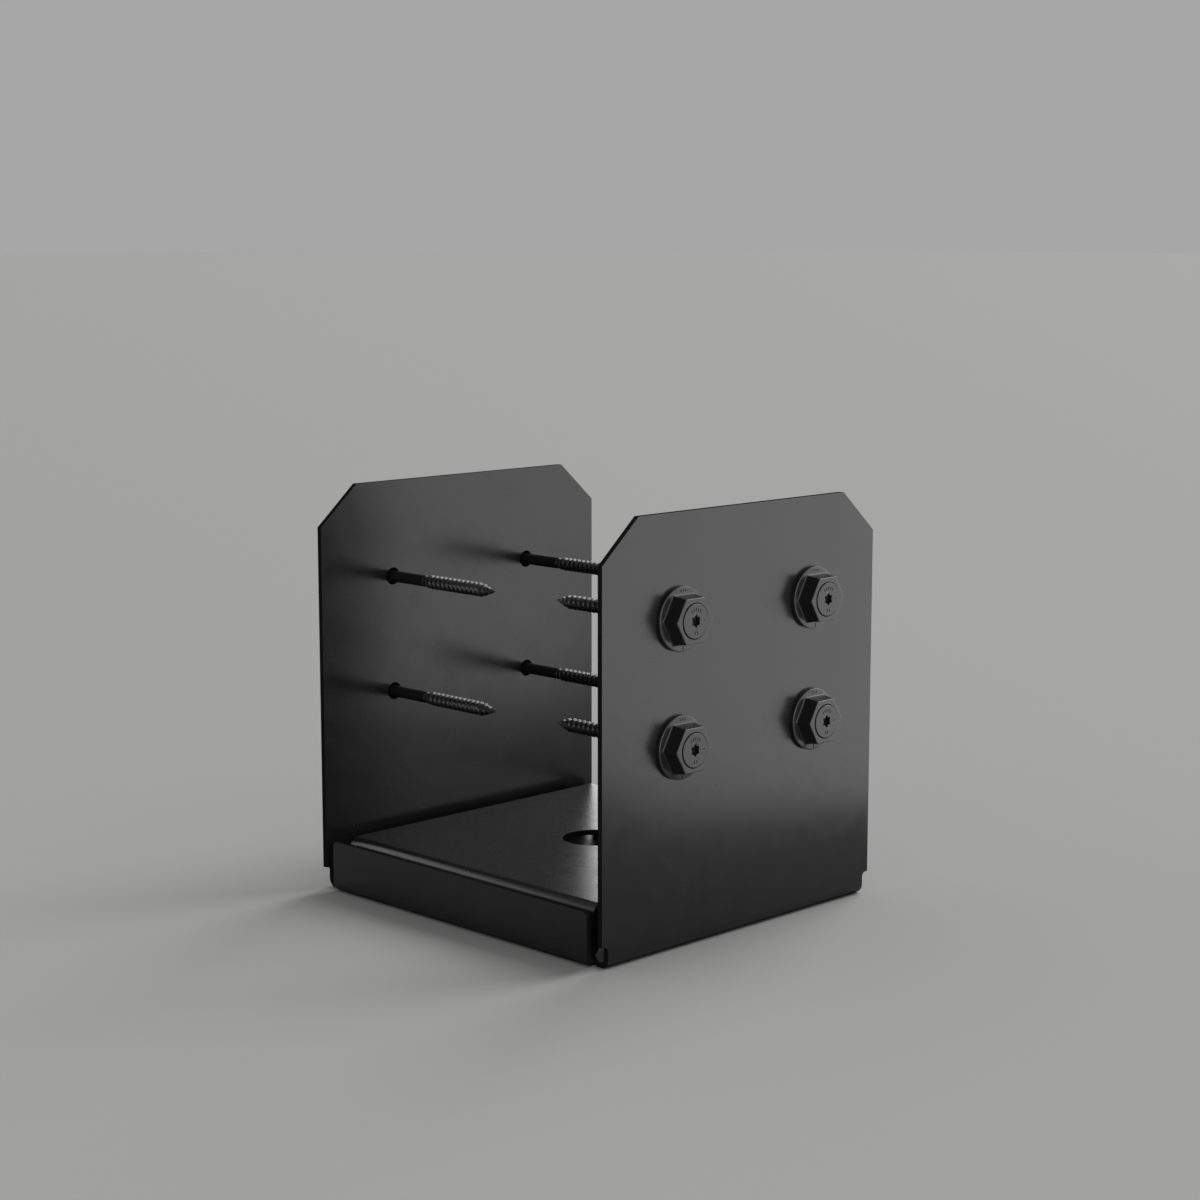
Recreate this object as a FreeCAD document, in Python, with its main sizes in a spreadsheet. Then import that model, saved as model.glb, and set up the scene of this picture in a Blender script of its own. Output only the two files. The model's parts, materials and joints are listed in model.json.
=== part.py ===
import FreeCAD, Part

import math
import os

import Sketcher

# Timber post base: a folded steel bracket that stands on concrete and holds the foot of a square
# timber post, with a loose standoff plate inside it, eight flanged hex washers and eight wood screws.
#
# Frame: millimetres, +Z up, the origin on the ground under the middle of the base plate. The tall
# legs stand at -Y (front) and +Y (rear), the low flanges at -X and +X. The part looks the same when
# it is turned half a turn about +Z.

DIMENSIONS = (
    # the post, and the bracket that is folded round its foot
    ("post_width", 190.5, "dressed face to dressed face of the timber post"),
    ("post_gap", 0.75, "play between the post and each tall leg"),
    ("sheet", 2.75, "thickness of the bracket's coated sheet"),
    ("bend_radius", 1.9, "inside radius of every fold"),
    ("edge_round", 0.4, "rounding of the coating along a leg's sheared edges"),
    ("leg_inset", 1.9, "a leg's side edge stands this far inside the post's side"),
    ("leg_height", 202.0, "top of the legs above the ground"),
    ("leg_corner_across", 22.8, "cut top corner of a leg, along the top edge"),
    ("leg_corner_down", 20.0, "cut top corner of a leg, down the side edge"),
    ("flange_inset", 1.15, "a low flange's outer face stands this far inside the post's side"),
    ("flange_height", 25.6, "top of the low flanges above the ground"),
    ("flange_corner", 3.0, "radius of the low flanges' top corners"),
    ("corner_gap", 4.3, "from a low flange's end to the bend line of the leg beside it"),
    ("relief_height", 10.8, "top of the relief cut in a leg's side edge, above the ground"),
    ("relief_radius", 2.5, "radius inside that relief cut"),
    ("relief_hole", 3.2, "diameter of the round relief where two bend lines meet"),
    ("anchor_hole", 17.5, "diameter of the hole for the anchor rod in the base plate"),
    # the standoff plate that stands loose on the base plate
    ("standoff_clearance", 5.35, "between a side of the standoff plate and the low flange"),
    ("standoff_height", 24.0, "standoff plate, from its feet to the seat for the post"),
    ("standoff_sheet", 2.75, "thickness of the standoff plate's sheet"),
    ("standoff_corner", 3.0, "radius of the feet's corners"),
    ("standoff_hole", 32.0, "diameter of the clear hole over the anchor rod"),
    # where the screws go through a leg
    ("screw_columns", 92.0, "between the two columns of screws"),
    ("screw_rows", 58.9, "between the two rows of screws"),
    ("screw_lowest", 94.7, "lower row of screws above the ground"),
    ("screw_shift", 1.75, "the pattern stands this far to the right of a leg's middle"),
    ("hole_play", 0.6, "round a screw's neck in the leg's hole"),
    # a flanged hex washer, built from the screw's head outwards
    ("head_play", 0.35, "round the screw's head in the washer's counterbore"),
    ("bore_play", 0.4, "round a screw's neck in the washer's bore"),
    ("hex_wall", 1.95, "wall between the counterbore and a flat at the top of the hexagon"),
    ("hex_flare", 0.95, "a flat leans out by this much from the top to the foot"),
    ("washer_lip", 1.97, "the flange stands out past the hexagon's corners by this much"),
    ("washer_rim", 2.2, "thickness of the flange at its rim"),
    ("washer_shoulder", 2.8, "thickness of the flange at the hexagon's foot"),
    ("washer_height", 9.9, "washer, from its seat on the leg to the top of the hexagon"),
    # a wood screw
    ("head_width", 15.9, "diameter of the flat round head"),
    ("head_height", 3.5, "thickness of the head"),
    ("head_rise", 0.4, "the head's top stands this far above the top of the washer"),
    ("recess_across", 5.6, "six-lobed drive recess, tip to tip"),
    ("recess_core", 4.0, "six-lobed drive recess, across its waist"),
    ("recess_lobe", 1.45, "diameter of one lobe of the recess"),
    ("recess_depth", 2.5, "depth of the recess"),
    ("neck_width", 7.6, "diameter of the neck under the head"),
    ("neck_taper", 2.4, "length over which the neck narrows to the shank"),
    ("neck_length", 7.0, "straight part of the neck, from the head into the leg's hole"),
    ("shank_width", 5.7, "diameter of the plain shank"),
    ("thread_root", 4.9, "diameter at the root of the thread"),
    ("thread_length", 50.0, "threaded part, with the point"),
    ("point_length", 9.0, "tapered point"),
    ("point_width", 0.8, "diameter of the blunted tip"),
    ("screw_length", 88.9, "whole screw, from the top of its head to its tip"),
)

# Places worked out from the driving dimensions, as expressions for the document.
LEG_INNER = "(Dims.post_width / 2 + Dims.post_gap)"
LEG_OUTER = f"({LEG_INNER} + Dims.sheet)"
LEG_SIDE = "(Dims.post_width / 2 - Dims.leg_inset)"
FLANGE_OUTER = "(Dims.post_width / 2 - Dims.flange_inset)"
BEND_OUTSIDE = "(Dims.bend_radius + Dims.sheet)"
FLANGE_BEND_LINE = f"({FLANGE_OUTER} - {BEND_OUTSIDE})"
LEG_BEND_LINE = f"({LEG_OUTER} - {BEND_OUTSIDE})"
FLANGE_END = f"({LEG_BEND_LINE} - Dims.corner_gap)"
STANDOFF_SIDE = f"({FLANGE_OUTER} - Dims.sheet - Dims.standoff_clearance)"
STANDOFF_TOP = "(Dims.sheet + Dims.standoff_height)"
LEG_HOLE = "(Dims.neck_width + 2 * Dims.hole_play)"
COUNTERBORE = "(Dims.head_width + 2 * Dims.head_play)"
WASHER_BORE = "(Dims.neck_width + 2 * Dims.bore_play)"
HEX_TOP_FLATS = f"({COUNTERBORE} + 2 * Dims.hex_wall)"
HEX_FOOT_FLATS = f"({HEX_TOP_FLATS} + 2 * Dims.hex_flare)"
HEX_FOOT_CORNER = f"({HEX_FOOT_FLATS} / sqrt(3))"
WASHER_RADIUS = f"({HEX_FOOT_CORNER} + Dims.washer_lip)"
HEAD_TOP = "(Dims.washer_height + Dims.head_rise)"

OVERRUN = "5"          # how far a cut reaches past the sheet that it trims
NEAR = 1e-4            # two lengths closer than this are the same
LEG_SIGNS = {"front": -1, "rear": 1}
CUTTING_FEATURES = ("PartDesign::Pocket", "PartDesign::Hole", "PartDesign::Groove")


def make_sheet(doc):
    """The spreadsheet that holds every driving dimension under its alias."""
    sheet = doc.addObject("Spreadsheet::Sheet", "Dims")
    for row, (alias, value, meaning) in enumerate(DIMENSIONS, start=1):
        sheet.set(f"A{row}", alias)
        sheet.set(f"B{row}", str(value))
        sheet.set(f"C{row}", meaning)
        sheet.setAlias(f"B{row}", alias)
    doc.recompute()


def new_body(doc, label):
    body = doc.addObject("PartDesign::Body", label)
    body.Label = label
    return body


def origin_feature(body, role):
    """One of the body's own origin planes or axes."""
    return next(item for item in body.Origin.OriginFeatures if item.Role == role)


def new_sketch(body, name, role, lift=None):
    """An empty sketch on one of the body's origin planes, or lifted off it."""
    sketch = body.newObject("Sketcher::SketchObject", name)
    sketch.AttachmentSupport = (origin_feature(body, role), [""])
    sketch.MapMode = "FlatFace"
    if lift:
        sketch.setExpression("AttachmentOffset.Base.z", lift)
    return sketch


def value_of(owner, expression):
    """What an expression comes to now."""
    return float(owner.evalExpression(expression))


def bind(sketch, constraint, name, expression):
    """Adds one driving constraint and ties it to the sheet."""
    index = sketch.addConstraint(constraint)
    sketch.renameConstraint(index, name)
    sketch.setExpression(f"Constraints.{name}", expression)


def fix_point(sketch, geometry, end, number, across, up):
    """Holds one point of a sketch at two expressions, measured from the sketch's origin."""
    places = (("DistanceX", "Across", across, -2), ("DistanceY", "Up", up, -1))
    for kind, word, expression, axis in places:
        value = value_of(sketch, expression)
        if abs(value) < NEAR:
            sketch.addConstraint(Sketcher.Constraint("PointOnObject", geometry, end, axis))
        else:
            constraint = Sketcher.Constraint(kind, -1, 1, geometry, end, value)
            bind(sketch, constraint, f"{word}{number}", expression)


def round_corner(before, corner, after, radius):
    """Entry point, exit point and centre of an arc that rounds a corner, and whether it turns left."""
    back = (before - corner).normalize()
    on = (after - corner).normalize()
    half_angle = back.getAngle(on) / 2
    reach = radius / math.tan(half_angle)
    centre = corner + (back + on).normalize() * (radius / math.sin(half_angle))
    turns_left = (corner - before).cross(after - corner).z > 0
    return corner + back * reach, corner + on * reach, centre, turns_left


def add_arc(sketch, entry, exit_point, centre, turns_left):
    """Adds the arc of a rounded corner. Returns its number and the ends that it is entered and left by."""
    first, last = (entry, exit_point) if turns_left else (exit_point, entry)
    angles = [math.atan2(p.y - centre.y, p.x - centre.x) for p in (first, last)]
    circle = Part.Circle(centre, FreeCAD.Vector(0, 0, 1), centre.distanceToPoint(entry))
    arc = sketch.addGeometry(Part.ArcOfCircle(circle, angles[0], angles[1]), False)
    return (arc, 1, 2) if turns_left else (arc, 2, 1)


def outline(body, name, role, corners, lift=None):
    """A closed outline, fully constrained. A corner is (across, up), or (across, up, radius)."""
    sketch = new_sketch(body, name, role, lift)
    count = len(corners)
    points = [FreeCAD.Vector(value_of(sketch, c[0]), value_of(sketch, c[1]), 0) for c in corners]
    entries, exits, arcs = list(points), list(points), {}
    for i, corner in enumerate(corners):
        if len(corner) == 3:
            radius = value_of(sketch, corner[2])
            found = round_corner(points[i - 1], points[i], points[(i + 1) % count], radius)
            entries[i], exits[i] = found[0], found[1]
            arcs[i] = add_arc(sketch, *found)
    lines = []
    for i in range(count):
        segment = Part.LineSegment(exits[i], entries[(i + 1) % count])
        lines.append(sketch.addGeometry(segment, False))
    for i, corner in enumerate(corners):
        line_in, line_out = lines[i - 1], lines[i]
        if i in arcs:
            arc, entered, left = arcs[i]
            sketch.addConstraint(Sketcher.Constraint("Tangent", line_in, 2, arc, entered))
            sketch.addConstraint(Sketcher.Constraint("Tangent", arc, left, line_out, 1))
            radius = value_of(sketch, corner[2])
            bind(sketch, Sketcher.Constraint("Radius", arc, radius), f"Round{i}", corner[2])
            mark = sketch.addGeometry(Part.Point(points[i]), True)
            sketch.addConstraint(Sketcher.Constraint("PointOnObject", mark, 1, line_in))
            sketch.addConstraint(Sketcher.Constraint("PointOnObject", mark, 1, line_out))
            fix_point(sketch, mark, 1, i, corner[0], corner[1])
        else:
            sketch.addConstraint(Sketcher.Constraint("Coincident", line_in, 2, line_out, 1))
            fix_point(sketch, line_out, 1, i, corner[0], corner[1])
    return sketch


def circles(body, name, role, centres, diameter, lift=None):
    """Circles of one diameter, each centre given as (across, up)."""
    sketch = new_sketch(body, name, role, lift)
    size = value_of(sketch, diameter)
    for i, (across, up) in enumerate(centres):
        centre = FreeCAD.Vector(value_of(sketch, across), value_of(sketch, up), 0)
        circle = sketch.addGeometry(Part.Circle(centre, FreeCAD.Vector(0, 0, 1), size / 2), False)
        bind(sketch, Sketcher.Constraint("Diameter", circle, size), f"Width{i}", diameter)
        fix_point(sketch, circle, 3, i, across, up)
    return sketch


def pad(body, name, sketch, length, symmetric=False):
    feature = body.newObject("PartDesign::Pad", name)
    feature.Profile = sketch
    feature.SideType = "Symmetric" if symmetric else "One side"
    feature.setExpression("Length", length)
    body.Document.recompute()
    return feature


def cut_through(body, name, sketch):
    """A pocket that goes right through the body, both ways from its sketch."""
    feature = body.newObject("PartDesign::Pocket", name)
    feature.Profile = sketch
    feature.SideType = "Symmetric"
    feature.Type = "ThroughAll"
    body.Document.recompute()
    return feature


def cut_one_way(body, name, sketch, depth, with_normal):
    """A pocket to one side of its sketch: with the sketch's normal, or against it."""
    feature = body.newObject("PartDesign::Pocket", name)
    feature.Profile = sketch
    feature.SideType = "One side"
    feature.Reversed = with_normal
    feature.setExpression("Length", depth)
    body.Document.recompute()
    return feature


def fillet(body, name, radius, wanted):
    """Rounds the edges of the body's last feature that the test `wanted` picks."""
    base = body.Tip
    names = [f"Edge{i}" for i, edge in enumerate(base.Shape.Edges, start=1) if wanted(edge)]
    if not names:
        raise RuntimeError(f"{body.Label} {name}: no edge to round")
    feature = body.newObject("PartDesign::Fillet", name)
    feature.Base = (base, names)
    feature.setExpression("Radius", radius)
    body.Document.recompute()
    return feature


def same(one, other):
    return abs(one - other) < NEAR


def runs_along(edge, axis):
    """Whether a straight edge runs along a row axis, given as 0, 1 or 2."""
    spans = [edge.BoundBox.XLength, edge.BoundBox.YLength, edge.BoundBox.ZLength]
    length = spans.pop(axis)
    return length > NEAR and max(spans) < NEAR


def channel(side, height, thickness, inside_radius):
    """The section of a folded channel that stands on the sketch's horizontal axis, open at the top."""
    inner = f"({side} - {thickness})"
    outside_radius = f"({inside_radius} + {thickness})"
    return [
        (f"-{side}", height),
        (f"-{side}", "0", outside_radius),
        (side, "0", outside_radius),
        (side, height),
        (inner, height),
        (inner, thickness, inside_radius),
        (f"-{inner}", thickness, inside_radius),
        (f"-{inner}", height),
    ]


def screw_places(sign):
    """The four screws of one leg as (across, up) in the XZ plane, from the upper left seen from outside."""
    return [
        (
            f"({-sign} * (Dims.screw_shift + {column} * Dims.screw_columns / 2))",
            f"(Dims.screw_lowest + {row} * Dims.screw_rows)",
        )
        for row in (1, 0)
        for column in (-1, 1)
    ]


def fold_legs(body):
    """Base plate and tall legs: one U section, as long as a leg is wide."""
    section = channel(LEG_OUTER, "Dims.leg_height", "Dims.sheet", "Dims.bend_radius")
    sketch = outline(body, "LegSection", "YZ_Plane", section)
    pad(body, "LegChannel", sketch, f"2 * {LEG_SIDE}", symmetric=True)


def cut_leg_corners(body):
    """Slopes off the two top corners of both legs."""
    for side, sign in (("Left", "-1"), ("Right", "1")):
        corner = [
            (f"{sign} * {LEG_SIDE}", "Dims.leg_height"),
            (f"{sign} * ({LEG_SIDE} - Dims.leg_corner_across)", "Dims.leg_height"),
            (f"{sign} * {LEG_SIDE}", "Dims.leg_height - Dims.leg_corner_down"),
        ]
        sketch = outline(body, f"{side}CornerOutline", "XZ_Plane", corner)
        cut_through(body, f"{side}LegCorners", sketch)


def cut_reliefs(body):
    """Narrows the foot of both legs and the base plate to the low flanges' bend lines."""
    for side, sign in (("Left", "-1"), ("Right", "1")):
        past = f"{sign} * ({LEG_SIDE} + {OVERRUN})"
        edge = f"{sign} * {FLANGE_BEND_LINE}"
        notch = [
            (past, f"-{OVERRUN}"),
            (past, "Dims.relief_height"),
            (edge, "Dims.relief_height", "Dims.relief_radius"),
            (edge, f"-{OVERRUN}"),
        ]
        sketch = outline(body, f"{side}ReliefOutline", "XZ_Plane", notch)
        cut_through(body, f"{side}Reliefs", sketch)


def round_leg_edges(body):
    """Rounds the sheared outline of both legs above the reliefs, on both faces of the sheet."""
    relief = value_of(body, "Dims.relief_height")
    thickness = value_of(body, "Dims.sheet")

    def wanted(edge):
        box = edge.BoundBox
        is_outline = box.ZMin > relief - NEAR and box.ZMax > relief + NEAR
        return is_outline and not same(edge.Length, thickness)

    fillet(body, "EdgeRounding", "Dims.edge_round", wanted)


def low_flanges(doc):
    """The two low flanges: a shallow U section across the first, which shares the base plate."""
    body = new_body(doc, "low_flanges")
    section = channel(FLANGE_OUTER, "Dims.flange_height", "Dims.sheet", "Dims.bend_radius")
    sketch = outline(body, "FlangeSection", "XZ_Plane", section)
    pad(body, "FlangeChannel", sketch, f"2 * {FLANGE_END}", symmetric=True)
    top = value_of(body, "Dims.flange_height")
    end = value_of(body, FLANGE_END)

    def top_corner(edge):
        box = edge.BoundBox
        return runs_along(edge, 0) and same(box.ZMin, top) and same(abs(box.YMin), end)

    fillet(body, "FlangeCorners", "Dims.flange_corner", top_corner)
    return body


def join(body, name, other):
    """Fuses another body into this one."""
    feature = body.newObject("PartDesign::Boolean", name)
    feature.Type = "Fuse"
    feature.setObjects([other])
    body.Document.recompute()


def cut_bracket_holes(body):
    """Round corner reliefs, the anchor hole, and four screw holes in each leg."""
    corners = [
        (f"{across} * {FLANGE_BEND_LINE}", f"{along} * {FLANGE_END}")
        for across in (-1, 1)
        for along in (-1, 1)
    ]
    sketch = circles(body, "CornerReliefCircles", "XY_Plane", corners, "Dims.relief_hole")
    cut_through(body, "CornerReliefs", sketch)
    sketch = circles(body, "AnchorCircle", "XY_Plane", [("0", "0")], "Dims.anchor_hole")
    cut_through(body, "AnchorHole", sketch)
    for leg, sign in LEG_SIGNS.items():
        word = leg.capitalize()
        sketch = circles(body, f"{word}HoleCircles", "XZ_Plane", screw_places(sign), LEG_HOLE)
        cut_one_way(body, f"{word}Holes", sketch, f"{LEG_OUTER} + {OVERRUN}", sign < 0)


def base_bracket(doc):
    """The folded sheet: base plate, two tall legs and two low flanges in one piece."""
    body = new_body(doc, "base_bracket")
    fold_legs(body)
    cut_leg_corners(body)
    cut_reliefs(body)
    round_leg_edges(body)
    join(body, "LowFlanges", low_flanges(doc))
    cut_bracket_holes(body)
    return body


def standoff_plate(doc):
    """A channel turned upside down on the base plate: its back is the seat for the post's end."""
    body = new_body(doc, "standoff_plate")
    section = channel(STANDOFF_SIDE, "Dims.standoff_height", "Dims.standoff_sheet", "Dims.bend_radius")
    turned = [(corner[0], f"({STANDOFF_TOP} - {corner[1]})", *corner[2:]) for corner in section]
    sketch = outline(body, "StandoffSection", "XZ_Plane", turned)
    pad(body, "StandoffChannel", sketch, f"2 * {STANDOFF_SIDE}", symmetric=True)
    foot = value_of(body, "Dims.sheet")
    end = value_of(body, STANDOFF_SIDE)

    def foot_corner(edge):
        box = edge.BoundBox
        return runs_along(edge, 0) and same(box.ZMin, foot) and same(abs(box.YMin), end)

    fillet(body, "FootCorners", "Dims.standoff_corner", foot_corner)
    sketch = circles(body, "ClearCircle", "XY_Plane", [("0", "0")], "Dims.standoff_hole")
    cut_through(body, "ClearHole", sketch)
    return body


def revolve(body, name, section):
    """Turns a half section, (radius, height) corner by corner, about the body's own Z axis."""
    sketch = outline(body, f"{name}Section", "XZ_Plane", section)
    feature = body.newObject("PartDesign::Revolution", name)
    feature.Profile = sketch
    feature.ReferenceAxis = (origin_feature(body, "Z_Axis"), [""])
    feature.Angle = 360
    body.Document.recompute()
    return feature


def hexagon(body, name, flats, lift):
    """A hexagon with two flats level and two corners to the sides, `flats` across."""
    corner = f"({flats} / sqrt(3))"
    half = f"({flats} / 2)"
    corners = [
        (corner, "0"),
        (f"{corner} / 2", half),
        (f"-{corner} / 2", half),
        (f"-{corner}", "0"),
        (f"-{corner} / 2", f"-{half}"),
        (f"{corner} / 2", f"-{half}"),
    ]
    return outline(body, name, "XY_Plane", corners, lift)


def add_hex_body(body):
    """The hexagon of a washer: drawn at its foot, with six flats that draw in towards its top."""
    height = "(Dims.washer_height - Dims.washer_shoulder)"
    foot = hexagon(body, "HexFoot", HEX_FOOT_FLATS, "Dims.washer_shoulder")
    prism = pad(body, "HexPrism", foot, height)
    leans = {f"Face{i}": face.normalAt(0, 0).z for i, face in enumerate(prism.Shape.Faces, start=1)}
    taper = body.newObject("PartDesign::Draft", "HexTaper")
    taper.Base = (prism, [name for name, lean in leans.items() if same(lean, 0)])
    taper.NeutralPlane = (prism, [min(leans, key=leans.get)])
    taper.setExpression("Angle", f"atan(Dims.hex_flare / {height})")
    body.Document.recompute()


def add_washer_hole(body):
    """The bore, with the counterbore that the screw's head sits in."""
    sketch = circles(body, "HoleCircle", "XY_Plane", [("0", "0")], WASHER_BORE, "Dims.washer_height")
    feature = body.newObject("PartDesign::Hole", "HeadSeat")
    feature.Profile = sketch
    body.Document.recompute()
    feature.ThreadType = "None"
    feature.DepthType = "ThroughAll"
    feature.HoleCutType = "Counterbore"
    feature.HoleCutCustomValues = True
    feature.setExpression("Diameter", WASHER_BORE)
    feature.setExpression("HoleCutDiameter", COUNTERBORE)
    feature.setExpression("HoleCutDepth", "Dims.head_height - Dims.head_rise")
    body.Document.recompute()


def place_on_leg(body, sign, across, up):
    """Stands a fastener on a leg's outer face, with its own Z axis pointing away from the post."""
    about_x = FreeCAD.Rotation(FreeCAD.Vector(1, 0, 0), 90)
    half_turn = FreeCAD.Rotation(FreeCAD.Vector(0, 0, 1), 0 if sign < 0 else 180)
    body.Placement = FreeCAD.Placement(FreeCAD.Vector(), half_turn * about_x)
    body.setExpression("Placement.Base.x", across)
    body.setExpression("Placement.Base.y", f"{sign} * {LEG_OUTER}")
    body.setExpression("Placement.Base.z", up)


def hex_washer(doc, label):
    """A tapered hexagon on a flange with a coned face, and a counterbored hole."""
    body = new_body(doc, label)
    flange = [
        ("0", "0"),
        (WASHER_RADIUS, "0"),
        (WASHER_RADIUS, "Dims.washer_rim"),
        (HEX_FOOT_CORNER, "Dims.washer_shoulder"),
        ("0", "Dims.washer_shoulder"),
    ]
    add_hex_body(body)
    revolve(body, "Flange", flange)
    add_washer_hole(body)
    return body


def add_recess(body):
    """The six-lobed drive recess: a round core, and one lobe repeated six times."""
    core = circles(body, "RecessCoreCircle", "XY_Plane", [("0", "0")], "Dims.recess_core", HEAD_TOP)
    cut_one_way(body, "RecessCore", core, "Dims.recess_depth", False)
    reach = "((Dims.recess_across - Dims.recess_lobe) / 2)"
    lobe = circles(body, "RecessLobeCircle", "XY_Plane", [("0", reach)], "Dims.recess_lobe", HEAD_TOP)
    one = cut_one_way(body, "RecessLobe", lobe, "Dims.recess_depth", False)
    six = body.newObject("PartDesign::PolarPattern", "RecessLobes")
    six.Originals = [one]
    six.Axis = (origin_feature(body, "Z_Axis"), [""])
    six.Angle = 360
    six.Occurrences = 6
    body.Tip = six
    body.Document.recompute()


def wood_screw(doc, label):
    """A screw in the washer's frame: its head sits in the counterbore, its point is at -Z."""
    body = new_body(doc, label)
    under_head = f"({HEAD_TOP} - Dims.head_height)"
    neck_end = f"({under_head} - Dims.neck_length)"
    shank_start = f"({neck_end} - Dims.neck_taper)"
    tip = f"({HEAD_TOP} - Dims.screw_length)"
    thread_start = f"({tip} + Dims.thread_length)"
    section = [
        ("0", HEAD_TOP),
        ("0", tip),
        ("Dims.point_width / 2", tip),
        ("Dims.thread_root / 2", f"({tip} + Dims.point_length)"),
        ("Dims.thread_root / 2", thread_start),
        ("Dims.shank_width / 2", thread_start),
        ("Dims.shank_width / 2", shank_start),
        ("Dims.neck_width / 2", neck_end),
        ("Dims.neck_width / 2", under_head),
        ("Dims.head_width / 2", under_head),
        ("Dims.head_width / 2", HEAD_TOP),
    ]
    revolve(body, "Screw", section)
    add_recess(body)
    return body


def fasteners(doc):
    """Four washers and four screws on each leg, numbered from the upper left seen from outside."""
    bodies = []
    for leg, sign in LEG_SIGNS.items():
        for number, (across, up) in enumerate(screw_places(sign), start=1):
            for kind, make in (("hex_washer", hex_washer), ("screw", wood_screw)):
                body = make(doc, f"{kind}_{leg}_{number}")
                place_on_leg(body, sign, across, up)
                bodies.append(body)
    return bodies


def check(doc, bodies):
    """Stops if a feature failed, a cut removed nothing, or a piece is not one valid solid."""
    doc.recompute()
    for item in doc.Objects:
        if {"Invalid", "Error"} & set(item.State):
            raise RuntimeError(f"{item.Label} failed: {item.State}")
        if item.TypeId in CUTTING_FEATURES:
            if item.Shape.Volume > item.BaseFeature.Shape.Volume - NEAR:
                raise RuntimeError(f"{item.Label} removes nothing")
    for body in bodies:
        shape = body.Shape
        if shape.isNull() or not shape.isValid() or len(shape.Solids) != 1:
            raise RuntimeError(f"{body.Label} is not one valid solid")


def main():
    doc = FreeCAD.newDocument("timber_post_base")
    make_sheet(doc)
    bodies = [base_bracket(doc), standoff_plate(doc)] + fasteners(doc)
    check(doc, bodies)
    os.makedirs("parts", exist_ok=True)
    for body in bodies:
        body.Shape.exportStep(f"parts/{body.Label}.step")


main()
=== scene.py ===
import json
import math

import bmesh
import bpy
from mathutils import Matrix, Vector

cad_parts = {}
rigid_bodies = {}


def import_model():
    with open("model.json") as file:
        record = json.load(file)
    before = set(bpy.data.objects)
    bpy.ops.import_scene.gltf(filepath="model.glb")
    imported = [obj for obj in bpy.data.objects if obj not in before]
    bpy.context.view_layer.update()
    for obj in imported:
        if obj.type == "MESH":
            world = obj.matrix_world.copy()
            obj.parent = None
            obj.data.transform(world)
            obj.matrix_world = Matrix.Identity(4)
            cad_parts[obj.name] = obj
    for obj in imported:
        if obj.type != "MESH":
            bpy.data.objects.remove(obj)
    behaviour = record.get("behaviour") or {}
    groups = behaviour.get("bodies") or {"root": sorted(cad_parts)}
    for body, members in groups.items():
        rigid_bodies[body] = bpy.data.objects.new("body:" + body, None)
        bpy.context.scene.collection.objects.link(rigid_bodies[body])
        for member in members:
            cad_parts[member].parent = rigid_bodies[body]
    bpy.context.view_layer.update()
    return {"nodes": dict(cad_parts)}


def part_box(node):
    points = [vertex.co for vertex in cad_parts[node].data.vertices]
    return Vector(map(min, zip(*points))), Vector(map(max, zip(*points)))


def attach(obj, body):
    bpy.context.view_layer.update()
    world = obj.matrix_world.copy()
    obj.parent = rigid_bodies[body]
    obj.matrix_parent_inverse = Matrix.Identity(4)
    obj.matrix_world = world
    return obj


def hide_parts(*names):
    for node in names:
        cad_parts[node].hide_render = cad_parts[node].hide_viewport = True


# Timber post base: a folded steel bracket in satin black powder coat, with a standoff plate, flanged
# hex washers and wood screws. Metres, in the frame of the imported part: +Z up, the tall legs at -Y (front)
# and +Y (rear), the low flanges at -X and +X.

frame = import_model()

MM = 0.001
WEAR_AND_HIGHLIGHT = "wear_and_highlight"                               # 1 on the faces of a rounded edge, 0 elsewhere; the coat paints these lighter, as wear and as painted highlight
CUT = "cut"                                 # 1 on the sheared sides of a sheet, 0 elsewhere; the coat takes all sheen off them as painted shade
CREASE = math.radians(40)                   # a sharper edge than this isn't smoothed
EVEN_WEIGHT = 80                            # how much large faces lead the smooth shading

# Folded sheets
SHEET = 2.75 * MM
BEND_INSIDE = 1.9 * MM
BEND_OUTSIDE = BEND_INSIDE + SHEET
BEND_LENGTH = BEND_OUTSIDE * math.pi / 2    # of the outer face, round one fold
BEND_STEPS = 10
COAT_ROUND = 0.42 * MM                      # the coating rounds every sheared edge
ROUND_STEPS = 3
LEG_INSET = 0.75 * MM                       # a leg's side edge, from the low flange's outer face
LEG_CORNER = (22.8 * MM, 20.0 * MM)         # cut corner: along the top edge, down the side edge
FLANGE_CORNER = 3.0 * MM
FLANGE_DROP = 1.15 * MM                     # the low flanges end this far below the standoff's top
CORNER_GAP = 4.3 * MM
RELIEF_HEIGHT = 10.8 * MM
RELIEF_RADIUS = 2.5 * MM
RELIEF_HOLE = 1.6 * MM                      # radius
ANCHOR_HOLE = 8.75 * MM                     # radius
LEG_HOLE = 4.4 * MM                         # radius
STANDOFF_HOLE = 16.0 * MM                   # radius
STANDOFF_CORNER = 3.0 * MM
CURVE_STEP = math.radians(7.5)

# Fasteners, each in its own frame: +Z away from the post, the washer's seat at zero
HEX_TOP = 10.25 * MM                        # centre to flat
HEX_FOOT = 11.2 * MM                        # centre to flat
HEX_CORNER = 0.75 * MM                      # radius of the six upright corners
HEX_EDGE = 0.38 * MM                        # radius of the top arris
HEX_FILLET = 0.7 * MM                       # radius at the foot, where it meets the flange
HEX_FLAT_HALF = 28                          # degrees each side of a flat's middle, evenly divided
HEX_FLAT_STEPS = 13
HEX_CORNER_ANGLES = (28.7, 29.4, 30, 30.6, 31.3)    # round a corner, from a flat's middle
WASHER_RADIUS = 14.9 * MM
WASHER_RIM = 2.2 * MM                       # height of the flange at its rim
WASHER_SHOULDER = 2.4 * MM                  # height of the flange at the hexagon's foot
WASHER_HEIGHT = 9.9 * MM
WASHER_EDGE = 0.5 * MM                      # radius of the rim's top edge
WASHER_EDGE_TURN = 75                       # degrees of that edge, up to where the slope begins
WASHER_BORE = 4.2 * MM                      # radius
WASHER_ROUND = 0.2 * MM                     # small rounding at the seat and at the counterbore's lip
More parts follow.
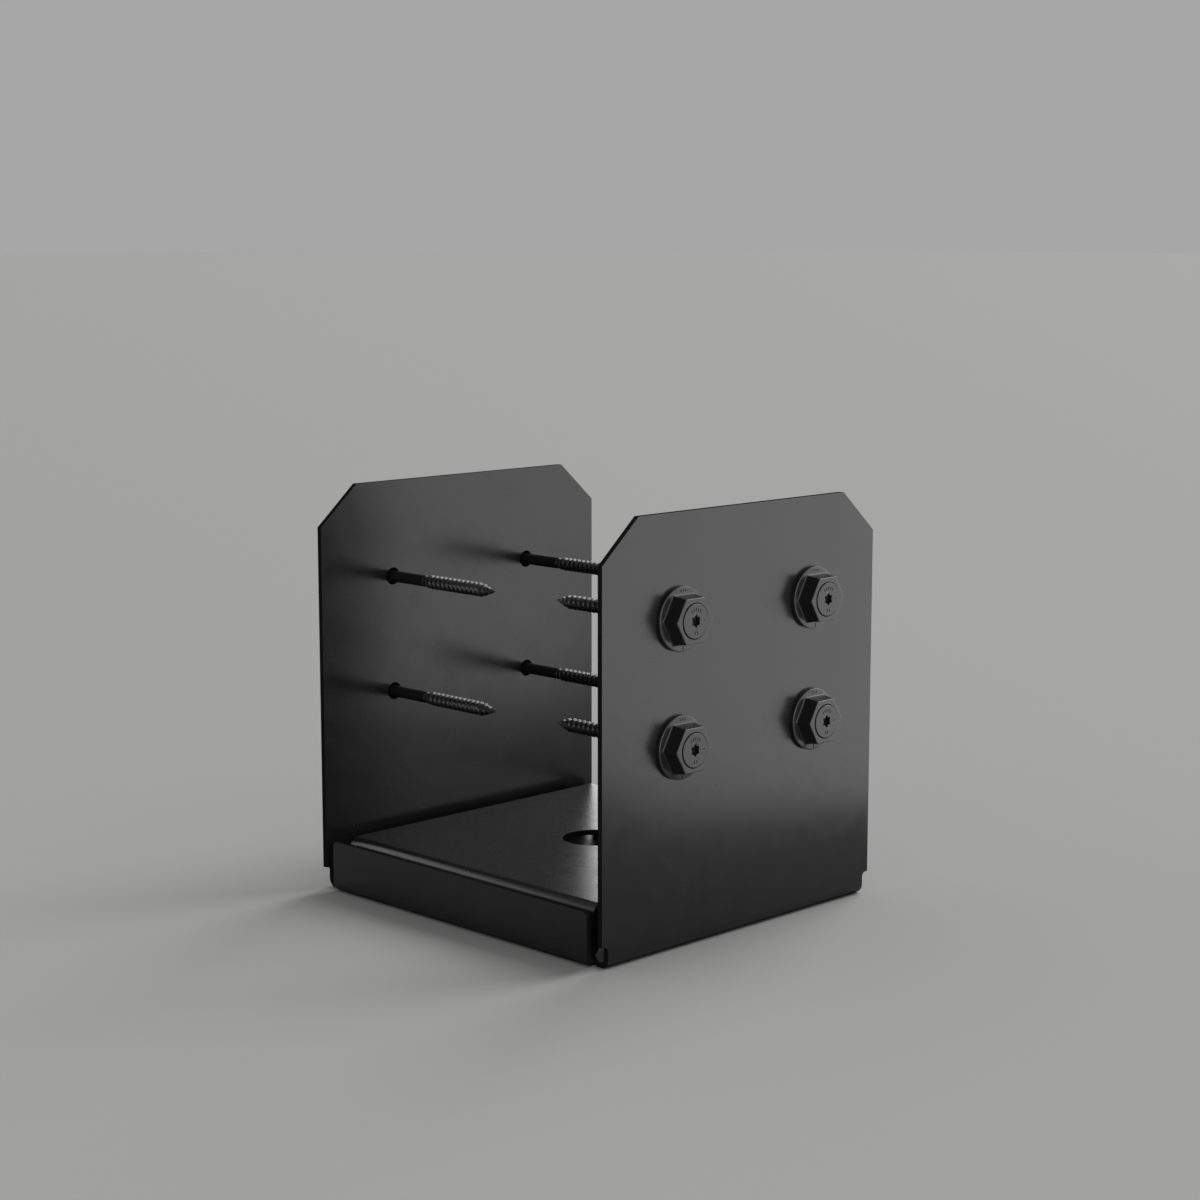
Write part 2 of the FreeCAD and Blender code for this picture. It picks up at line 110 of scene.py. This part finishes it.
SEAT_RADIUS = 8.3 * MM
SEAT_FLOOR = 6.8 * MM
HEAD_RADIUS = 7.95 * MM
HEAD_TOP = 10.3 * MM
HEAD_EDGE = 0.3 * MM
NECK_RADIUS = 3.8 * MM
NECK_END = -0.2 * MM
NECK_TAPER = 2.4 * MM
SHANK_RADIUS = 2.85 * MM
THREAD_ROOT = 2.45 * MM
THREAD_HEIGHT = 1.1 * MM
THREAD_PITCH = 3.2 * MM
THREAD_LENGTH = 50.0 * MM
THREAD_RUNOUT = 0.4 * MM                    # the shank narrows to the root over this length
THREAD_FLANK = 0.2                          # half the width of the thread's foot, as a share of the pitch
THREAD_SHARPNESS = 0.85                     # 1 is a straight-sided crest, less is a blunter one
THREAD_LEVELS = 12                          # rings in one pitch
POINT_LENGTH = 9.0 * MM
POINT_RADIUS = 0.4 * MM
SCREW_LENGTH = 88.9 * MM
RECESS_WAIST = 2.1 * MM                     # radius of the drive recess between two lobes
RECESS_TIP = 2.95 * MM
RECESS_DEPTH = 2.5 * MM
RECESS_EDGE = 0.12 * MM
RECESS_DISH = (1.2 * MM, 0.3 * MM)          # the floor's middle: in from its rim, down below it
SCREW_STEPS = 72

# Short dashes sunk in the screw's head and the washer's flange. Each has its angle in degrees, counted
# from the right, and where it starts and ends: a radius on the head, a share of the flange's slope.
MARK_DEPTH = 0.22 * MM
MARK_HALF = 0.25 * MM
MARK_SLOPE = 0.08 * MM
HEAD_DASH = (4.6 * MM, 6.0 * MM)
HEAD_MARKS = [(angle, *HEAD_DASH) for angle in (0, 58, 74, 90, 106, 122, 262, 278)]
FLANGE_MARKS = [(83.2, 0.35, 0.65), (90, 0.35, 0.65), (96.8, 0.35, 0.65), (270, 0.12, 0.88)]
FLANGE_RINGS = (0.92, 0.88, 0.7, 0.65, 0.35, 0.3, 0.12, 0.08)   # shares of the slope, rim to foot
MARK_CLEARANCE = 1.5                        # no other point this near a mark's middle, in its half widths

# Powder coat. Noise scales are in cells per metre; colours and shares have no unit.
BLACK = (0.008, 0.008, 0.0082)
BLACK_LIGHT = (0.011, 0.011, 0.0111)
RUBBED_AND_HIGHLIGHT = (0.045, 0.045, 0.045)              # wear and painted highlight on rounded edges: a lighter grey that stands in partly for the arris highlights
RUBBED_AND_HIGHLIGHT_LEAST = 0.35                         # share of that colour where an edge has the least of it
RUBBED_SMOOTHER = 0.05                      # how much less rough a rubbed edge is
SHEEN = 0.3                                 # specular level
CLOUD_SCALE = 22
RUBBED_AND_HIGHLIGHT_SCALE = 140
GLOSS_SCALE = 90
GLOSS_SPREAD = 0.03
GRAIN_SCALE = 1400
GRAIN_HEIGHT = 0.04 * MM
RIPPLE_SCALE = 180
RIPPLE_HEIGHT = 0.05 * MM
RIPPLE_STRENGTH = 0.06
PAINTED_SHADE_HEIGHTS = (1.5 * MM, 3.0 * MM)          # painted shade along the floor: the bracket's sheen grows between these heights
PAINTED_SHADE_SHEEN = 0.04                         # share of the sheen left below them, in that painted shade

# Studio
FLOOR_REACH = 30                            # from the middle to each side
FLOOR_COLOUR = (0.40, 0.40, 0.395, 1)
FLOOR_ROUGHNESS = 0.9
WORLD_COLOUR = (0.385, 0.385, 0.385, 1)
PANEL_HEIGHT = 0.35
PANEL_RADIANCE = 2.4
CAMERA_SPOT = (-0.8246, -0.8300, 0.32605)
CAMERA_DOWN = 8.72                          # degrees below level
CAMERA_RIGHT = 44.95                        # degrees from +Y towards +X
CAMERA_LENS = 72.3
CAMERA_SENSOR = 36
CAMERA_CLIP = (0.05, 100)


# ---------------------------------------------------------------- geometry

def arc(centre, radius, start, end, step=CURVE_STEP):
    """Points of an arc, ends included. Angles in degrees."""
    first, last = math.radians(start), math.radians(end)
    count = max(2, math.ceil(abs(last - first) / step))
    angles = [first + (last - first) * i / count for i in range(count + 1)]
    return [(centre[0] + radius * math.cos(a), centre[1] + radius * math.sin(a)) for a in angles]


def mirrored(quadrant):
    """A closed outline from the quarter of it that runs from the Y axis to the X axis."""
    right = quadrant + [(x, -y) for x, y in reversed(quadrant)]
    return right + [(-x, y) for x, y in reversed(right)]


def new_object(name, bm, material):
    """A finished piece from a bmesh that is already in place."""
    return place(name, shade(bm, name), Matrix.Identity(4), material)


def place(name, mesh, matrix, material):
    """A finished piece from a mesh, riding on the part's only body."""
    piece = bpy.data.objects.new(name, mesh)
    bpy.context.scene.collection.objects.link(piece)
    piece.matrix_world = matrix
    if not mesh.materials:
        mesh.materials.append(material)
    even = piece.modifiers.new("EvenShade", "WEIGHTED_NORMAL")
    even.mode = "FACE_AREA"
    even.weight = EVEN_WEIGHT
    even.keep_sharp = True
    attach(piece, "root")
    return piece


def flat_pattern(outline, holes):
    """One flat face with holes, as triangles in a new bmesh."""
    bm = bmesh.new()
    bm.faces.layers.float.new(WEAR_AND_HIGHLIGHT)
    bm.faces.layers.float.new(CUT)
    edges = []
    for loop in [outline, *holes]:
        verts = [bm.verts.new((x, y, 0)) for x, y in loop]
        edges += [bm.edges.new((verts[i - 1], verts[i])) for i in range(len(verts))]
    bmesh.ops.triangle_fill(bm, use_beauty=True, use_dissolve=False, edges=edges)
    return bm


def score(bm, axis, line, wanted):
    """Cuts the flat pattern along the lines where its two folds on one axis turn."""
    for sign in (-1, 1):
        for i in range(BEND_STEPS + 1):
            plane = [0, 0, 0]
            plane[axis] = sign * (line + BEND_LENGTH * i / BEND_STEPS)
            normal = [0, 0, 0]
            normal[axis] = 1
            faces = [f for f in bm.faces if wanted(f.calc_center_median())]
            geom = set(faces)
            for face in faces:
                geom |= set(face.edges) | set(face.verts)
            bmesh.ops.bisect_plane(bm, geom=list(geom), dist=1e-7, plane_co=plane, plane_no=normal)


def folded(distance, line, depth):
    """Where a point goes, (outward, up), when the sheet is folded up at `line`."""
    past = distance - line
    radius = BEND_OUTSIDE - depth
    if past <= 0:
        return distance, depth
    if past >= BEND_LENGTH:
        return line + radius, BEND_OUTSIDE + past - BEND_LENGTH
    angle = past / BEND_OUTSIDE
    return line + radius * math.sin(angle), BEND_OUTSIDE - radius * math.cos(angle)


def thicken_and_round(bm, shape):
    """Gives the flat pattern its thickness, bends it with `shape(x, y, depth)` and rounds its rim."""
    outer_faces = list(bm.faces)
    rim = [(e.verts[0], e.verts[1]) for e in bm.edges if e.is_boundary]
    twin = {}
    flat = {v: v.co.copy() for v in bm.verts}
    for vert, co in flat.items():
        twin[vert] = bm.verts.new(shape(co.x, co.y, SHEET))
        vert.co = shape(co.x, co.y, 0)
    for face in outer_faces:
        bm.faces.new([twin[v] for v in reversed(face.verts)])
    edges = []
    cut = bm.faces.layers.float[CUT]
    for a, b in rim:
        wall = bm.faces.new((a, b, twin[b], twin[a]))
        wall[cut] = 1
        edges += [e for e in wall.edges if (e.verts[0] in twin) == (e.verts[1] in twin)]
    bmesh.ops.recalc_face_normals(bm, faces=bm.faces)
    rounded = bmesh.ops.bevel(
        bm, geom=list(set(edges)), offset=COAT_ROUND, segments=ROUND_STEPS, profile=0.5,
        affect="EDGES", clamp_overlap=True, loop_slide=True,
    )
    wear_and_highlight = bm.faces.layers.float[WEAR_AND_HIGHLIGHT]
    for face in rounded["faces"]:
        face[wear_and_highlight] = 1


def ring_stack(bm, rings, closed):
    """Joins rings with quads. Each comes with whether the strip that leads to it is a rounded edge."""
    wear_and_highlight = bm.faces.layers.float.new(WEAR_AND_HIGHLIGHT)
    loops = [[bm.verts.new(p) for p in ring] for ring, rounded in rings]
    strips = [(loops[i - 1], loops[i], rings[i][1]) for i in range(0 if closed else 1, len(rings))]
    for low, high, rounded in strips:
        for i in range(len(low)):
            face = bm.faces.new((low[i - 1], low[i], high[i], high[i - 1]))
            face[wear_and_highlight] = float(rounded)
    return loops


def shade(bm, name):
    """The finished mesh: smooth, with creases kept where faces meet at more than CREASE."""
    bmesh.ops.recalc_face_normals(bm, faces=bm.faces)
    for crease in bm.edges:
        crease.smooth = crease.calc_face_angle(0) < CREASE
    mesh = bpy.data.meshes.new(name)
    for face in bm.faces:
        face.smooth = True
    bm.to_mesh(mesh)
    bm.free()
    return mesh


def plain(rings):
    """Rings whose strips are not rounded edges."""
    return [(ring, False) for ring in rings]


def edge(rings):
    """Rings of one rounded edge, from the face before it to the face after it."""
    return [(ring, i > 0) for i, ring in enumerate(rings)]


def corner_arc(across, up, radius, start, end, steps=4):
    """Points (across, up) of a rounded edge about its centre. Angles in degrees."""
    angles = [math.radians(start + (end - start) * i / steps) for i in range(steps + 1)]
    return [(across + radius * math.cos(a), up + radius * math.sin(a)) for a in angles]


# ---------------------------------------------------------------- materials

class Graph:
    """Shorthand for building one material's nodes."""

    def __init__(self, name):
        self.material = bpy.data.materials.new(name)
        self.material.use_nodes = True
        self.nodes = self.material.node_tree.nodes
        self.links = self.material.node_tree.links
        self.shader = self.nodes["Principled BSDF"]
        self.place = self.nodes.new("ShaderNodeTexCoord").outputs["Object"]

    def noise(self, scale, detail=2.0, roughness=0.5):
        node = self.nodes.new("ShaderNodeTexNoise")
        node.inputs["Scale"].default_value = scale
        node.inputs["Detail"].default_value = detail
        node.inputs["Roughness"].default_value = roughness
        self.links.new(self.place, node.inputs["Vector"])
        return node.outputs["Fac"]

    def spread(self, value, low, high, start=0.3, end=0.7):
        """Maps a noise to the range low..high."""
        node = self.nodes.new("ShaderNodeMapRange")
        node.inputs["From Min"].default_value = start
        node.inputs["From Max"].default_value = end
        node.inputs["To Min"].default_value = low
        node.inputs["To Max"].default_value = high
        self.links.new(value, node.inputs["Value"])
        return node.outputs["Result"]

    def mix(self, share, dark, light):
        """A colour between two, by a share from 0 to 1."""
        node = self.nodes.new("ShaderNodeMix")
        node.data_type = "RGBA"
        for name, colour in (("A", dark), ("B", light)):
            socket = next(i for i in node.inputs if i.name == name and i.type == "RGBA")
            if isinstance(colour, tuple):
                socket.default_value = (*colour, 1)
            else:
                self.links.new(colour, socket)
        self.links.new(share, node.inputs["Factor"])
        return next(o for o in node.outputs if o.type == "RGBA")

    def attribute(self, name):
        node = self.nodes.new("ShaderNodeAttribute")
        node.attribute_name = name
        return node.outputs["Fac"]

    def math(self, operation, first, second):
        node = self.nodes.new("ShaderNodeMath")
        node.operation = operation
        for socket, value in zip(node.inputs, (first, second)):
            if isinstance(value, (int, float)):
                socket.default_value = value
            else:
                self.links.new(value, socket)
        return node.outputs["Value"]

    def bump(self, heights):
        """Stacks bumps: (height, distance in metres, strength)."""
        normal = None
        for height, distance, strength in heights:
            node = self.nodes.new("ShaderNodeBump")
            node.inputs["Distance"].default_value = distance
            node.inputs["Strength"].default_value = strength
            self.links.new(height, node.inputs["Height"])
            if normal:
                self.links.new(normal, node.inputs["Normal"])
            normal = node.outputs["Normal"]
        self.links.new(normal, self.shader.inputs["Normal"])


def powder_coat(name, roughness, grain, painted_foot_shade=False):
    """Satin black powder coat: fine grain, faint clouding, roughness that varies a little."""
    graph = Graph(name)
    clouds = graph.spread(graph.noise(CLOUD_SCALE, detail=3), 0, 1)
    coat = graph.mix(clouds, BLACK, BLACK_LIGHT)
    # Wear and painted highlight: rounded edges get a lighter grey, in patches, standing in partly for the
    # light their arrises catch.
    patches = graph.spread(graph.noise(RUBBED_AND_HIGHLIGHT_SCALE, detail=3), RUBBED_AND_HIGHLIGHT_LEAST, 1)
    rubbed_and_highlight = graph.math("MULTIPLY", graph.attribute(WEAR_AND_HIGHLIGHT), patches)
    graph.links.new(graph.mix(rubbed_and_highlight, coat, RUBBED_AND_HIGHLIGHT), graph.shader.inputs["Base Color"])
    uneven = graph.noise(GLOSS_SCALE, detail=4, roughness=0.6)
    rough = graph.spread(uneven, roughness - GLOSS_SPREAD, roughness + GLOSS_SPREAD)
    smoothed = graph.math("SUBTRACT", rough, graph.math("MULTIPLY", rubbed_and_highlight, RUBBED_SMOOTHER))
    graph.links.new(smoothed, graph.shader.inputs["Roughness"])
    # Painted shade: the sheared sides get no sheen at all, so the sheet's cut edges render dark.
    sheen = graph.math("MULTIPLY", graph.math("SUBTRACT", 1, graph.attribute(CUT)), SHEEN)
    # Painted shade: the bracket's sheen fades out towards the floor, so its foot renders dark where it
    # meets the floor.
    if painted_foot_shade:
        height = graph.nodes.new("ShaderNodeSeparateXYZ")
        graph.links.new(graph.place, height.inputs["Vector"])
        sheen_left_by_painted_shade = graph.spread(height.outputs["Z"], PAINTED_SHADE_SHEEN, 1, *PAINTED_SHADE_HEIGHTS)
        sheen = graph.math("MULTIPLY", sheen, sheen_left_by_painted_shade)
    graph.links.new(sheen, graph.shader.inputs["Specular IOR Level"])
    graph.bump([
        (graph.noise(GRAIN_SCALE, detail=2), GRAIN_HEIGHT, grain),
        (graph.noise(RIPPLE_SCALE, detail=1), RIPPLE_HEIGHT, RIPPLE_STRENGTH),
    ])
    return graph.material


bracket_coat = powder_coat("bracket_coat", roughness=0.25, grain=0.3, painted_foot_shade=True)
standoff_coat = powder_coat("standoff_coat", roughness=0.28, grain=0.3)
washer_coat = powder_coat("washer_coat", roughness=0.25, grain=0.25)
screw_coat = powder_coat("screw_coat", roughness=0.25, grain=0.25)


# ---------------------------------------------------------------- folded sheets

def bracket():
    """Base plate, tall legs and low flanges: one flat pattern, folded up on four lines."""
    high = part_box("base_bracket")[1]
    leg_side = high.x - LEG_INSET
    leg_line = high.y - BEND_OUTSIDE
    flange_line = high.x - BEND_OUTSIDE
    leg_end = leg_line + BEND_LENGTH + high.z - BEND_OUTSIDE
    flange_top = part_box("standoff_plate")[1].z - FLANGE_DROP
    flange_end = flange_line + BEND_LENGTH + flange_top - BEND_OUTSIDE
    flange_side = leg_line - CORNER_GAP
    notch = leg_line + BEND_LENGTH + RELIEF_HEIGHT - BEND_OUTSIDE
    quadrant = [
        (leg_side - LEG_CORNER[0], leg_end),
        (leg_side, leg_end - LEG_CORNER[1]),
        (leg_side, notch),
        *arc((flange_line + RELIEF_RADIUS, notch - RELIEF_RADIUS), RELIEF_RADIUS, 90, 180),
        *arc((flange_line, flange_side), RELIEF_HOLE, 90, 360),
        *arc((flange_end - FLANGE_CORNER, flange_side - FLANGE_CORNER), FLANGE_CORNER, 90, 0),
    ]
    holes = [arc((0, 0), ANCHOR_HOLE, 0, 360)[:-1]]
    for node in frame["nodes"]:
        if node.startswith("hex_washer"):
            low_corner, high_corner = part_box(node)
            centre = (low_corner + high_corner) / 2
            up = leg_line + BEND_LENGTH + centre.z - BEND_OUTSIDE
            place_on_pattern = (centre.x, math.copysign(up, centre.y))
            holes.append(arc(place_on_pattern, LEG_HOLE, 0, 360)[:-1])
    bm = flat_pattern(mirrored(quadrant), holes)
    score(bm, 1, leg_line, lambda centre: True)
    score(bm, 0, flange_line, lambda centre: abs(centre.y) < leg_line)

    def shape(x, y, depth):
        if abs(y) > leg_line:
            out, up = folded(abs(y), leg_line, depth)
            return x, math.copysign(out, y), up
        out, up = folded(abs(x), flange_line, depth)
        return math.copysign(out, x), y, up

    thicken_and_round(bm, shape)
    piece = new_object("bracket_sheet", bm, bracket_coat)
    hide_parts("base_bracket")


def standoff():
    """The standoff plate: a sheet with its two sides folded down."""
    low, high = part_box("standoff_plate")
    line = high.x - BEND_OUTSIDE
    end = line + BEND_LENGTH + high.z - low.z - BEND_OUTSIDE
    corner = (end - STANDOFF_CORNER, high.y - STANDOFF_CORNER)
    quadrant = arc(corner, STANDOFF_CORNER, 90, 0)
    bm = flat_pattern(mirrored(quadrant), [arc((0, 0), STANDOFF_HOLE, 0, 360)[:-1]])
    score(bm, 0, line, lambda centre: True)

    def shape(x, y, depth):
        out, down = folded(abs(x), line, depth)
        return math.copysign(out, x), y, high.z - down

    thicken_and_round(bm, shape)
    piece = new_object("standoff_sheet", bm, standoff_coat)
    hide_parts("standoff_plate")


# ---------------------------------------------------------------- fasteners

def with_mark_edges(angles, marks, radius):
    """Adds to a round of angles the four that bound each mark, and drops what crowds them."""
    inner, outer = MARK_HALF / radius, (MARK_HALF + MARK_SLOPE) / radius
    bounds = [math.radians(mark[0]) + side for mark in marks for side in (-outer, -inner, inner, outer)]
    full = 2 * math.pi
    clear = [
        a for a in angles
        if all(abs((a - math.radians(m[0]) + math.pi) % full - math.pi) > MARK_CLEARANCE * outer
               for m in marks)
    ]
    return sorted(a % full for a in clear + bounds)


def mark_depth(angle, along, marks, radius):
    """How far the surface is sunk at a place: `along` is a radius or a share, as in the marks."""
    for middle, start, end in marks:
        off = abs((angle - math.radians(middle) + math.pi) % (2 * math.pi) - math.pi)
        if off * radius < MARK_HALF + MARK_SLOPE / 2 and start - 1e-9 <= along <= end + 1e-9:
            return MARK_DEPTH
    return 0


def hex_angles():
    """Angles round a washer, close together at the six corners. A flat faces 30 degrees."""
    angles = []
    for sector in range(6):
        middle = 60 * sector + 30
        for i in range(HEX_FLAT_STEPS + 1):
            angles.append(middle - HEX_FLAT_HALF + 2 * HEX_FLAT_HALF * i / HEX_FLAT_STEPS)
        angles += [middle + offset for offset in HEX_CORNER_ANGLES]
    return [math.radians(a) for a in angles]


def hex_reach(angle, flat):
    """Distance from the centre to a hexagon with rounded corners, at an angle."""
    off_flat = abs((math.degrees(angle) - 30) % 60)
    off_flat = math.radians(min(off_flat, 60 - off_flat))
    straight = (flat - HEX_CORNER) * math.tan(math.pi / 6)
    if off_flat <= math.atan(straight / flat):
        return flat / math.cos(off_flat)
    centre = (flat - HEX_CORNER) / math.cos(math.pi / 6)
    off_corner = math.pi / 6 - off_flat
    half_chord = math.sqrt(HEX_CORNER ** 2 - (centre * math.sin(off_corner)) ** 2)
    return centre * math.cos(off_corner) + half_chord


def washer_mesh():
    """A flanged hex washer, as one closed stack of rings from its bore round to its bore."""
    flange_middle = (HEX_FOOT + WASHER_RADIUS) / 2
    angles = with_mark_edges(hex_angles(), FLANGE_MARKS, flange_middle)
    soft = WASHER_ROUND

    def circle(radius, height):
        return [(radius * math.cos(a), radius * math.sin(a), height) for a in angles]

    def hexagon(flat, outset, height):
        reach = [hex_reach(a, flat) + outset for a in angles]
        return [(r * math.cos(a), r * math.sin(a), height) for a, r in zip(angles, reach)]

    side_height = WASHER_HEIGHT - WASHER_SHOULDER

    def flat_at(height):
        share = (height - WASHER_SHOULDER) / side_height
        return HEX_FOOT + (HEX_TOP - HEX_FOOT) * share

    rim_centre = WASHER_RADIUS - WASHER_EDGE
    rim_top = corner_arc(rim_centre, WASHER_RIM - WASHER_EDGE, WASHER_EDGE, 0, WASHER_EDGE_TURN)
    rings = plain([circle(WASHER_BORE + soft, 0)])
    rings += edge([circle(r, z) for r, z in corner_arc(WASHER_RADIUS - soft, soft, soft, -90, 0)])
    rings += edge([circle(r, z) for r, z in rim_top])
    rim_radius, rim_height = rim_top[-1]
    for share in FLANGE_RINGS:
        ring = []
        for a in angles:
            foot = hex_reach(a, HEX_FOOT) + HEX_FILLET
            r = foot + (rim_radius - foot) * share
            z = WASHER_SHOULDER + (rim_height - WASHER_SHOULDER) * share
            z -= mark_depth(a, share, FLANGE_MARKS, flange_middle)
            ring.append((r * math.cos(a), r * math.sin(a), z))
        rings += plain([ring])
    fillet = corner_arc(HEX_FILLET, WASHER_SHOULDER + HEX_FILLET, HEX_FILLET, -90, -180, steps=6)
    rings += plain([hexagon(flat_at(z), out, z) for out, z in fillet])
    arris = corner_arc(-HEX_EDGE, WASHER_HEIGHT - HEX_EDGE, HEX_EDGE, 0, 90)
    rings += edge([hexagon(flat_at(z), out, z) for out, z in arris])
    lip = corner_arc(SEAT_RADIUS + soft, WASHER_HEIGHT - soft, soft, 90, 180)
    rings += edge([circle(r, z) for r, z in lip])
    rings += plain([
        circle(SEAT_RADIUS, SEAT_FLOOR), circle(WASHER_BORE, SEAT_FLOOR), circle(WASHER_BORE, soft)
    ])
    bm = bmesh.new()
    ring_stack(bm, rings, closed=True)
    return shade(bm, "hex_washer")


def recess_reach(angle):
    """Radius of the six-lobed recess at an angle. One lobe points up."""
    middle = (RECESS_TIP + RECESS_WAIST) / 2
    return middle - (RECESS_TIP - RECESS_WAIST) / 2 * math.cos(6 * angle)


def screw_mesh():
    """A wood screw, as one stack of rings from the floor of its recess to its point."""
    mark_radius = sum(HEAD_DASH) / 2
    angles = [2 * math.pi * i / SCREW_STEPS for i in range(SCREW_STEPS)]
    angles = with_mark_edges(angles, HEAD_MARKS, mark_radius)
    tip = HEAD_TOP - SCREW_LENGTH
    thread_start = tip + THREAD_LENGTH

    def circle(radius, height):
        return [(radius * math.cos(a), radius * math.sin(a), height) for a in angles]

    def recess(outset, height):
        reach = [recess_reach(a) + outset for a in angles]
        return [(r * math.cos(a), r * math.sin(a), height) for a, r in zip(angles, reach)]

    def root(height):
        share = min(1, (height - tip) / POINT_LENGTH)
        return POINT_RADIUS + (THREAD_ROOT - POINT_RADIUS) * share

    def threaded(height):
        """A ring of the thread: a sharp crest that climbs one pitch a turn and dies out at both ends."""
        fade = min(1, (thread_start - height) / THREAD_PITCH, (height - tip) / (2 * THREAD_PITCH))
        ring = []
        for a in angles:
            turn = (height / THREAD_PITCH - a / (2 * math.pi)) % 1
            crest = max(0, 1 - abs(turn - 0.5) / THREAD_FLANK)
            radius = root(height) + THREAD_HEIGHT * max(0, fade) * crest ** THREAD_SHARPNESS
            ring.append((radius * math.cos(a), radius * math.sin(a), height))
        return ring

    floor_height = HEAD_TOP - RECESS_DEPTH
    dish_in, dish_down = RECESS_DISH
    rings = plain([recess(-dish_in, floor_height - dish_down), recess(0, floor_height)])
    lip = corner_arc(RECESS_EDGE, HEAD_TOP - RECESS_EDGE, RECESS_EDGE, 180, 90, steps=3)
    rings += edge([recess(out, z) for out, z in lip])
    for radius in (HEAD_DASH[0] - MARK_SLOPE, *HEAD_DASH, HEAD_DASH[1] + MARK_SLOPE):
        sunk = [HEAD_TOP - mark_depth(a, radius, HEAD_MARKS, mark_radius) for a in angles]
        ring = [(radius * math.cos(a), radius * math.sin(a), z) for a, z in zip(angles, sunk)]
        rings += plain([ring])
    rim = corner_arc(HEAD_RADIUS - HEAD_EDGE, HEAD_TOP - HEAD_EDGE, HEAD_EDGE, 90, 0)
    rings += edge([circle(r, z) for r, z in rim])
    shank_start = NECK_END - NECK_TAPER
    rings += plain([
        circle(HEAD_RADIUS, SEAT_FLOOR), circle(NECK_RADIUS, SEAT_FLOOR), circle(NECK_RADIUS, NECK_END),
        circle(SHANK_RADIUS, shank_start), circle(SHANK_RADIUS, thread_start + THREAD_RUNOUT),
        circle(THREAD_ROOT, thread_start),
    ])
    levels = round(THREAD_LENGTH / THREAD_PITCH * THREAD_LEVELS)
    heights = [thread_start - THREAD_LENGTH * i / levels for i in range(1, levels + 1)]
    rings += plain([threaded(height) for height in heights])
    bm = bmesh.new()
    loops = ring_stack(bm, rings, closed=False)
    bm.faces.new(loops[0])
    bm.faces.new(loops[-1])
    return shade(bm, "wood_screw")


def fasteners():
    """Puts one washer and one screw at each of the part's washers."""
    washer, screw = washer_mesh(), screw_mesh()
    for node in sorted(n for n in frame["nodes"] if n.startswith("hex_washer")):
        low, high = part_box(node)
        front = high.y < 0
        seat = high.y if front else low.y
        spot = Vector(((low.x + high.x) / 2, seat, (low.z + high.z) / 2))
        half_turn = Matrix.Rotation(0 if front else math.pi, 4, "Z")
        stand = Matrix.Translation(spot) @ half_turn @ Matrix.Rotation(math.pi / 2, 4, "X")
        number = node.removeprefix("hex_washer_")
        piece = place(f"washer_{number}", washer, stand, washer_coat)
        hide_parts(node)
        piece = place(f"wood_screw_{number}", screw, stand, screw_coat)
        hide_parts(f"screw_{number}")


bracket()
standoff()
fasteners()


# ---------------------------------------------------------------- scene

def floor():
    """A plain pale floor that runs on to the horizon."""
    bm = bmesh.new()
    bmesh.ops.create_grid(bm, x_segments=1, y_segments=1, size=FLOOR_REACH)
    mesh = bpy.data.meshes.new("floor")
    bm.to_mesh(mesh)
    bm.free()
    slab = bpy.data.objects.new("floor", mesh)
    bpy.context.scene.collection.objects.link(slab)
    graph = Graph("pale_floor")
    graph.shader.inputs["Base Color"].default_value = FLOOR_COLOUR
    graph.shader.inputs["Roughness"].default_value = FLOOR_ROUGHNESS
    mesh.materials.append(graph.material)


def sun(name, azimuth, elevation, spread, strength):
    """A wide, soft light from far off. Azimuth 0 is from -Y and 90 from +X; angles in degrees."""
    data = bpy.data.lights.new(name, "SUN")
    data.angle = math.radians(spread)
    data.energy = strength
    light = bpy.data.objects.new(name, data)
    bpy.context.scene.collection.objects.link(light)
    around, above = math.radians(azimuth), math.radians(elevation)
    towards = Vector((
        math.sin(around) * math.cos(above), -math.cos(around) * math.cos(above), math.sin(above)
    ))
    light.rotation_euler = towards.to_track_quat("Z", "Y").to_euler()


def panel(name, spot, facing, width, lit, sheen_only=True):
    """An upright softbox on the floor, for the pieces in `lit`. Most show only as a sheen on the coat."""
    data = bpy.data.lights.new(name, "AREA")
    data.shape = "RECTANGLE"
    data.size = width
    data.size_y = PANEL_HEIGHT
    data.energy = PANEL_RADIANCE * math.pi * width * PANEL_HEIGHT
    light = bpy.data.objects.new(name, data)
    bpy.context.scene.collection.objects.link(light)
    light.location = (*spot, PANEL_HEIGHT / 2)
    light.rotation_euler = Vector((*facing, 0)).to_track_quat("-Z", "Z").to_euler()
    light.visible_camera = False
    light.visible_diffuse = not sheen_only
    light.light_linking.receiver_collection = lit


def world():
    """Pale surroundings, the same grey all round."""
    bpy.context.scene.world = bpy.data.worlds.new("studio")
    bpy.context.scene.world.use_nodes = True
    background = bpy.context.scene.world.node_tree.nodes["Background"]
    background.inputs["Color"].default_value = WORLD_COLOUR
    background.inputs["Strength"].default_value = 1


def camera():
    """Sees the part's left front corner from a little above."""
    data = bpy.data.cameras.new("camera")
    data.sensor_width = CAMERA_SENSOR
    data.lens = CAMERA_LENS
    data.clip_start, data.clip_end = CAMERA_CLIP
    eye = bpy.data.objects.new("camera", data)
    bpy.context.scene.collection.objects.link(eye)
    eye.location = CAMERA_SPOT
    eye.rotation_euler = (math.radians(90 - CAMERA_DOWN), 0, math.radians(-CAMERA_RIGHT))
    bpy.context.scene.camera = eye


floor()
world()
camera()
lit = bpy.data.collections.new("lit_by_panel")
for thing in bpy.data.objects:
    if thing.type == "MESH" and thing.name != "floor":
        lit.objects.link(thing)
sun("key", azimuth=88, elevation=42, spread=46, strength=2.2)
panel("front_right", spot=(0.173, -0.257), facing=(-0.525, 0.851), width=0.5, lit=lit)
panel("front_left", spot=(-0.25, -0.53), facing=(0.5, 0.87), width=0.5, lit=lit, sheen_only=False)
panel("behind", spot=(0, 0.42), facing=(0, -1), width=1.0, lit=lit)
panel("right", spot=(0.45, 0.05), facing=(-1, 0), width=0.6, lit=lit)
bpy.context.scene.view_settings.view_transform = "Standard"
